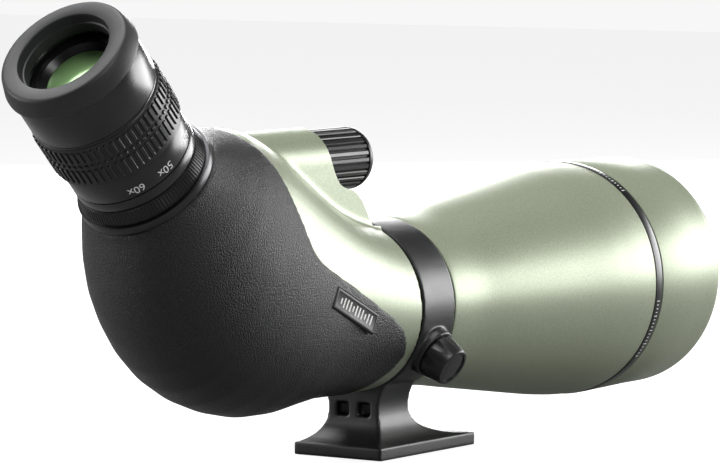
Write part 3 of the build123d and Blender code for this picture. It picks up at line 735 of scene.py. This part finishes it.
@dataclass
class Eyepiece:
    """Zoom eyepiece with its rings, numbers and twist-up cup."""

    ring_radius: float = 25.1
    grip_radius: float = 26.2
    numbers: tuple[tuple[str, float], ...] = (
        ("60x", 141.7), ("50x", 111.0), ("40x", 73.4), ("30x", 25.0), ("20x", -43.3),
    )
    number_t: float = 100.6
    letter_height: float = 3.3
    capital_share: float = 0.7
    teeth: int = 120
    studs: int = 60

    def ring(self, name: str, stations: Stations, body: Body, finish: Finish, slot: str, *nodes: str) -> None:
        """Plain turned ring on the eyepiece's axis."""
        piece = turned(name, stations, segments=FINE_RING)
        bevel(piece, 0.22)
        hand_over(placed(piece, Axis.EYEPIECE), body, finish, slot, *nodes)

    def lock_ring(self) -> None:
        """Tapered ring with fine straight knurling."""
        low, high = 86.2, 92.5
        ring = turned("lock_band", [(low, 21.5), (low, 26.4), (high, 25.0), (high, 21.5)], segments=FINE_RING)
        bevel(ring, 0.2)
        tooth = bar((1.1, 0.82, high - low - 0.7), (0, 0, 0), 0.2)
        lean = Matrix.Rotation(-math.atan(1.4 / 6.3), 4, "Y")
        tooth.data.transform(Matrix.Translation((25.45 * MM, 0, (low + high) / 2 * MM)) @ lean)
        join(ring, around(tooth, self.teeth))
        hand_over(
            placed(ring, Axis.EYEPIECE), Body.EYE_LOCK, ANODISED, "black_anodised", "eyepiece_lock_ring",
        )

    def grip(self) -> None:
        """Rubber zoom grip: two rows of long bars with a row of small studs between."""
        base = self.grip_radius
        low, high = 107.8, 128.3
        grip = turned(
            "grip_sleeve",
            [
                (low, 23.0), (low, 25.6), (low + 0.5, base + 0.15), (low + 1.4, base),
                (high - 1.0, base), (high, 25.7), (high, 23.0),
            ],
            segments=FINE_RING,
        )
        bevel(grip, 0.15)
        studs = []
        for start, end in ((110.1, 117.2), (118.4, 119.9), (121.1, 126.9)):
            stud = bar((1.2, 1.55, end - start), (base + 0.05, 0, (start + end) / 2), 0.28)
            studs += around(stud, self.studs)
        join(grip, studs)
        hand_over(placed(grip, Axis.EYEPIECE), Body.ZOOM, GRIP, "grip_rubber", "zoom_grip")

    def number(self, text: str, angle: float) -> bpy.types.Object:
        """One raised figure wrapped round the number ring."""
        curve = bpy.data.curves.new("figure", "FONT")
        curve.body = text
        curve.size = self.letter_height / self.capital_share * MM
        curve.align_x = "CENTER"
        curve.align_y = "CENTER"
        curve.extrude = 0.05 * MM
        curve.resolution_u = 4
        figure = bpy.data.objects.new("figure", curve)
        bpy.context.scene.collection.objects.link(figure)
        alone(figure)
        bpy.ops.object.convert(target="MESH")
        for vertex in figure.data.vertices:
            around_by = math.radians(angle) + vertex.co.x / (self.ring_radius * MM)
            radius = self.ring_radius * MM + vertex.co.z
            height = self.number_t * MM - vertex.co.y
            vertex.co = (radius * math.sin(around_by), radius * math.cos(around_by), height)
        return figure

    def printing(self) -> None:
        """White magnification figures and the index mark."""
        figures = [self.number(text, angle) for text, angle in self.numbers]
        join(figures[0], figures[1:])
        figures[0].name = "zoom_figures"
        hand_over(placed(figures[0], Axis.EYEPIECE), Body.ZOOM, PRINT, "black_anodised")
        dot = bar((0.14, 0.7, 2.2), (self.ring_radius, 0, 95.2), 0.05)
        dot.data.transform(Matrix.Rotation(math.pi / 2, 4, "Z"))
        dot.name = "index_mark"
        hand_over(placed(dot, Axis.EYEPIECE), Body.TUBE, PRINT, "black_anodised")

    def cup(self) -> None:
        """Soft eyecup with a rounded face and a stepped mouth."""
        outer = [
            (146.5, 26.4), (146.5, 27.1), (146.8, 27.35), (148.1, 27.35), (153.5, 25.75),
            (154.15, 25.3), (154.45, 24.7), (154.5, 24.0),
        ]
        inner = [(154.5, 19.3), (154.3, 18.9), (153.6, 18.7), (150.6, 18.5), (150.4, 17.9), (146.5, 17.7)]
        piece = turned("cup_rubber_ring", outer + inner, segments=FINE_RING)
        bevel(piece, 0.12, 2, 30)
        hand_over(placed(piece, Axis.EYEPIECE), Body.CUP, CUP, "cup_rubber", "eyecup")

    def build(self) -> None:
        """Every ring from the housing to the eyecup."""
        self.ring(
            "mount_ring",
            [
                (80.0, 19.6), (80.0, 23.0), (82.75, 23.0), (82.75, 27.75),
                (85.9, 27.6), (85.9, 21.4), (92.4, 21.4), (92.4, 19.6),
            ],
            Body.TUBE, BRIGHT, "bright_metal", "eyepiece_mount",
        )
        self.lock_ring()
        self.ring(
            "index_band", [(93.0, 19.6), (93.0, self.ring_radius), (97.2, self.ring_radius), (97.2, 19.6)],
            Body.TUBE, SLEEVE_BLACK, "black_anodised", "index_ring",
        )
        self.ring(
            "number_band", [(97.6, 21.1), (97.6, self.ring_radius), (107.5, self.ring_radius), (107.5, 21.1)],
            Body.ZOOM, SLEEVE_BLACK, "black_anodised", "number_ring",
        )
        self.printing()
        self.grip()
        self.ring(
            "grip_band", [(128.35, 23.0), (128.35, 25.8), (129.3, 25.8), (129.3, 23.0)],
            Body.ZOOM, SLEEVE_BLACK, "black_anodised", "zoom_trim_band",
        )
        self.ring(
            "cup_sleeve",
            [
                (129.6, 24.1), (129.6, 26.0), (146.45, 26.0), (146.45, 18.7),
                (144.0, 18.7), (144.0, 22.8), (143.0, 24.1),
            ],
            Body.CUP, SLEEVE_BLACK, "black_anodised", "eyecup_sleeve",
        )
        self.cup()
        # The eye lens's pale green is partly its coating and partly painted light coming through the lens.
        lens = glass("eye_glass", 133.6, 139.5, 16.3, 1.6)
        hand_over(placed(lens, Axis.EYEPIECE), Body.TUBE, GLASS_GREEN_AND_PAINTED_LIGHT, "glass", "eye_lens_outer")


def glass(name: str, low: float, high: float, radius: float, crown: float) -> bpy.types.Object:
    """Lens blank with a domed face.

    Args:
        name: The piece's name.
        low: Height of its rear face.
        high: Height of the dome's edge.
        radius: Radius of the lens.
        crown: Height of the dome.

    Returns:
        The new object.
    """
    ball = (radius**2 + crown**2) / (2 * crown)
    dome = []
    for step in range(DOME_STEPS):
        away = radius * (1 - step / DOME_STEPS)
        dome.append((high + math.sqrt(ball**2 - away**2) - (ball - crown), away))
    return turned(name, [(low, radius), *dome], False, 128)


@dataclass
class Badge:
    """Side plate on the armour, with a generic row of bars."""

    origin: tuple[float, float, float] = (37.0, -75.7, 64.7)
    along: tuple[float, float, float] = (-0.0705, 0.9163, -0.3935)
    out: tuple[float, float, float] = (0.997, 0.0706, -0.0142)
    size: tuple[float, float] = (34.0, 8.9)
    lean: float = 0.5
    depth: float = 0.8
    proud: float = 1.0
    bars: int = 11
    bar_pitch: float = 2.45

    def matrix(self) -> Matrix:
        """Placement of a plate that was modelled flat."""
        z = Vector(self.out).normalized()
        x = Vector(self.along)
        x = (x - x.dot(z) * z).normalized()
        turn = Matrix((x, z.cross(x), z)).transposed().to_4x4()
        return Matrix.Translation(Vector(self.origin) * MM) @ turn

    def slab(self, name: str, grow: float, low: float, high: float) -> bpy.types.Object:
        """Slanted slab round the plate's outline."""
        bpy.ops.object.select_all(action="DESELECT")
        bpy.ops.mesh.primitive_cube_add(size=MM, location=(0, 0, (low + high) / 2 * MM))
        slab = bpy.context.active_object
        slab.name = name
        slab.scale = (self.size[0] + 2 * grow, self.size[1] + 2 * grow, high - low)
        bpy.ops.object.transform_apply(location=True, scale=True)
        for vertex in slab.data.vertices:
            vertex.co.x += math.copysign(self.lean * MM, vertex.co.y)
        return slab

    def settle(self, piece: bpy.types.Object) -> bpy.types.Object:
        """Lay a flat piece on the armour's side."""
        alone(piece)
        piece.matrix_world = self.matrix()
        bpy.ops.object.transform_apply()
        return piece

    def pocket(self) -> bpy.types.Object:
        """Cutter for the plate's seat in the armour."""
        return self.settle(self.slab("badge_pocket", 0.2, -self.depth - 0.2, 4.0))

    def build(self) -> None:
        """Framed plate and its bars."""
        plate = self.slab("badge_face", 0.0, -self.depth, self.proud)
        bevel(plate, 0.75, 4)
        bpy.ops.object.mode_set(mode="EDIT")
        bpy.ops.mesh.select_all(action="DESELECT")
        bpy.ops.object.mode_set(mode="OBJECT")
        for face in plate.data.polygons:
            face.select = face.normal.z > 0.99 and face.area > 0.5 * self.size[0] * self.size[1] * MM**2
        bpy.ops.object.mode_set(mode="EDIT")
        bpy.ops.mesh.inset(thickness=0.55 * MM)
        bpy.ops.mesh.extrude_region_move(TRANSFORM_OT_translate={"value": (0, 0, -0.22 * MM)})
        bpy.ops.object.mode_set(mode="OBJECT")
        bevel(plate, 0.12, 2)
        hand_over(self.settle(plate), Body.TUBE, PLATE, "plate", "badge_plate")
        marks = []
        for number in range(self.bars):
            tall = 4.3 if number % 4 else 2.4
            place = ((number - (self.bars - 1) / 2) * self.bar_pitch, 0, self.proud - 0.16)
            marks.append(bar((0.95, tall, 0.2), place, 0.05))
        join(marks[0], marks[1:])
        marks[0].name = "badge_bars"
        for vertex in marks[0].data.vertices:
            vertex.co.x += 0.2 * vertex.co.y
        hand_over(self.settle(marks[0]), Body.TUBE, PRINT, "plate")


@dataclass
class Studio:
    """Pale floor, soft lights and the camera."""

    azimuth: float = 34.5134
    elevation: float = 4.5589
    spot: tuple[float, float, float] = (1.08162, -1.59105, 0.24246)
    lens: float = 237.36
    floor_glow: float = 0.86
    fill: float = 0.07

    def camera(self) -> None:
        """Long lens a little above the scope's right rear."""
        a, e = math.radians(self.azimuth), math.radians(self.elevation)
        back = Vector((math.sin(a) * math.cos(e), -math.cos(a) * math.cos(e), math.sin(e)))
        data = bpy.data.cameras.new("camera")
        data.sensor_width = 36.0
        data.lens = self.lens
        camera = bpy.data.objects.new("camera", data)
        bpy.context.scene.collection.objects.link(camera)
        camera.location = self.spot
        camera.rotation_mode = "QUATERNION"
        camera.rotation_quaternion = (-back).to_track_quat("-Z", "Y")
        bpy.context.scene.camera = camera

    def light(
        self, name: str, spot: tuple[float, float, float], target: tuple[float, float, float],
        size: tuple[float, float], power: float,
    ) -> None:
        """One soft box.

        Args:
            name: The light's name.
            spot: Its centre, in metres.
            target: Where it points, in metres.
            size: Its width and height, in metres.
            power: Its power, in watts.
        """
        data = bpy.data.lights.new(name, "AREA")
        data.shape = "RECTANGLE"
        data.size, data.size_y = size
        data.energy = power
        lamp = bpy.data.objects.new(name, data)
        bpy.context.scene.collection.objects.link(lamp)
        lamp.location = spot
        lamp.rotation_mode = "QUATERNION"
        lamp.rotation_quaternion = (Vector(target) - Vector(spot)).to_track_quat("-Z", "Y")

    def floor(self) -> None:
        """Wide pale floor."""
        bpy.ops.object.select_all(action="DESELECT")
        bpy.ops.mesh.primitive_plane_add(size=8.0, location=(0, 0, -0.0002))
        ground = bpy.context.active_object
        ground.name = "floor"
        bpy.ops.object.transform_apply(location=True)
        ground.data.materials.append(self.floor_finish())

    def floor_finish(self) -> bpy.types.Material:
        """Pale floor that glows a little in view but throws little light back."""
        made = bpy.data.materials.new("floor_white")
        made.use_nodes = True
        tree = made.node_tree
        shader = tree.nodes["Principled BSDF"]
        shader.inputs["Base Color"].default_value = (0.3, 0.3, 0.3, 1)
        shader.inputs["Roughness"].default_value = 0.9
        shader.inputs["Emission Color"].default_value = (1, 1, 1, 1)
        shader.inputs["Emission Strength"].default_value = self.floor_glow
        dim = tree.nodes.new("ShaderNodeBsdfDiffuse")
        dim.inputs["Color"].default_value = (0.25, 0.25, 0.25, 1)
        self.split(tree, dim.outputs["BSDF"], shader.outputs["BSDF"], tree.nodes["Material Output"])
        return made

    def split(
        self, tree: bpy.types.NodeTree, lit: bpy.types.NodeSocket, seen: bpy.types.NodeSocket,
        output: bpy.types.Node,
    ) -> None:
        """Use one shader for what is seen and another for the light it gives."""
        rays = tree.nodes.new("ShaderNodeLightPath")
        mix = tree.nodes.new("ShaderNodeMixShader")
        tree.links.new(rays.outputs["Is Camera Ray"], mix.inputs["Fac"])
        tree.links.new(lit, mix.inputs[1])
        tree.links.new(seen, mix.inputs[2])
        tree.links.new(mix.outputs["Shader"], output.inputs["Surface"])

    def world(self) -> None:
        """White surroundings that give only a weak fill light."""
        world = bpy.data.worlds.new("studio")
        world.use_nodes = True
        tree = world.node_tree
        seen = tree.nodes["Background"]
        seen.inputs["Color"].default_value = (1, 1, 1, 1)
        seen.inputs["Strength"].default_value = 0.93
        fill = tree.nodes.new("ShaderNodeBackground")
        fill.inputs["Color"].default_value = (1, 1, 1, 1)
        fill.inputs["Strength"].default_value = self.fill
        self.split(tree, fill.outputs["Background"], seen.outputs["Background"], tree.nodes["World Output"])
        bpy.context.scene.world = world

    def build(self) -> None:
        """The whole set."""
        bpy.context.scene.view_settings.view_transform = "Standard"
        self.world()
        self.floor()
        self.camera()
        self.light("top_box", (-0.3, 0.0, 1.2), (0, 0.0, 0.08), (1.0, 1.3), 19)
        self.light("front_box", (0.85, 1.5, 0.34), (0.02, 0.05, 0.08), (1.5, 0.66), 28)
        self.light("far_box", (-1.1, 1.3, 0.45), (0, 0.05, 0.1), (1.2, 0.5), 20)
        self.light("key_box", (1.2, -0.6, 0.9), (0.02, -0.1, 0.1), (0.5, 0.5), 8)
        self.light("rim_box", (-1.3, -0.8, 0.4), (0, -0.15, 0.1), (0.5, 1.0), 10)


KEPT: dict[str, Finish] = {
    "objective_cell": ANODISED, "objective_retainer": ANODISED, "objective_spacer": ANODISED,
    "objective_rear_lens": GLASS_DARK,
    "baffle_front": ANODISED, "baffle_rear": ANODISED, "prism_bracket": ANODISED,
    "eyepiece_barrel": ANODISED, "eyepiece_head": ANODISED, "eye_lens_retainer": ANODISED,
    "zoom_cell_front": ANODISED, "zoom_cell_rear": ANODISED, "focus_carriage": ANODISED,
    "focus_lens_retainer": ANODISED, "barrel_seal": GRIP, "eyepiece_seal": GRIP,
    "eyecup_guide": BRIGHT, "thread_insert": STEEL, "lock_screw": STEEL, "focus_screw": STEEL,
    "focus_guide_rod": STEEL, "focus_bush": BRASS, "cam_tube": BRASS, "prism": GLASS_DARK,
    "focus_lens": GLASS_DARK, "zoom_lens_front": GLASS_DARK, "zoom_lens_rear": GLASS_DARK,
    # The inner eye lens uses the green glass whose pale brightness is painted light coming through the lens.
    "eye_lens_inner": GLASS_GREEN_AND_PAINTED_LIGHT,
    "hood_friction_band": FELT, "collar_liner": ACETAL, "clamp_shoe": ACETAL, "prism_rest": ACETAL,
    "bracket_screw_1": STEEL, "bracket_screw_2": STEEL, "bracket_screw_3": STEEL, "bracket_screw_4": STEEL,
    "rear_cam_pin_1": STEEL, "rear_cam_pin_2": STEEL,
}


def dress_parts() -> None:
    """Give every part that stays its finish."""
    for name, finish in KEPT.items():
        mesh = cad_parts[name].data
        mesh.materials.clear()
        mesh.materials.append(finish.material())


def main() -> None:
    """Build the scope and its studio."""
    logging.basicConfig(level=logging.INFO)
    dress_parts()
    for assembly in (Studio(), FrontTube(), Housing(), Mount(), FocusKnob(), Eyepiece(), Badge()):
        assembly.build()


if __name__ == "__main__":
    main()
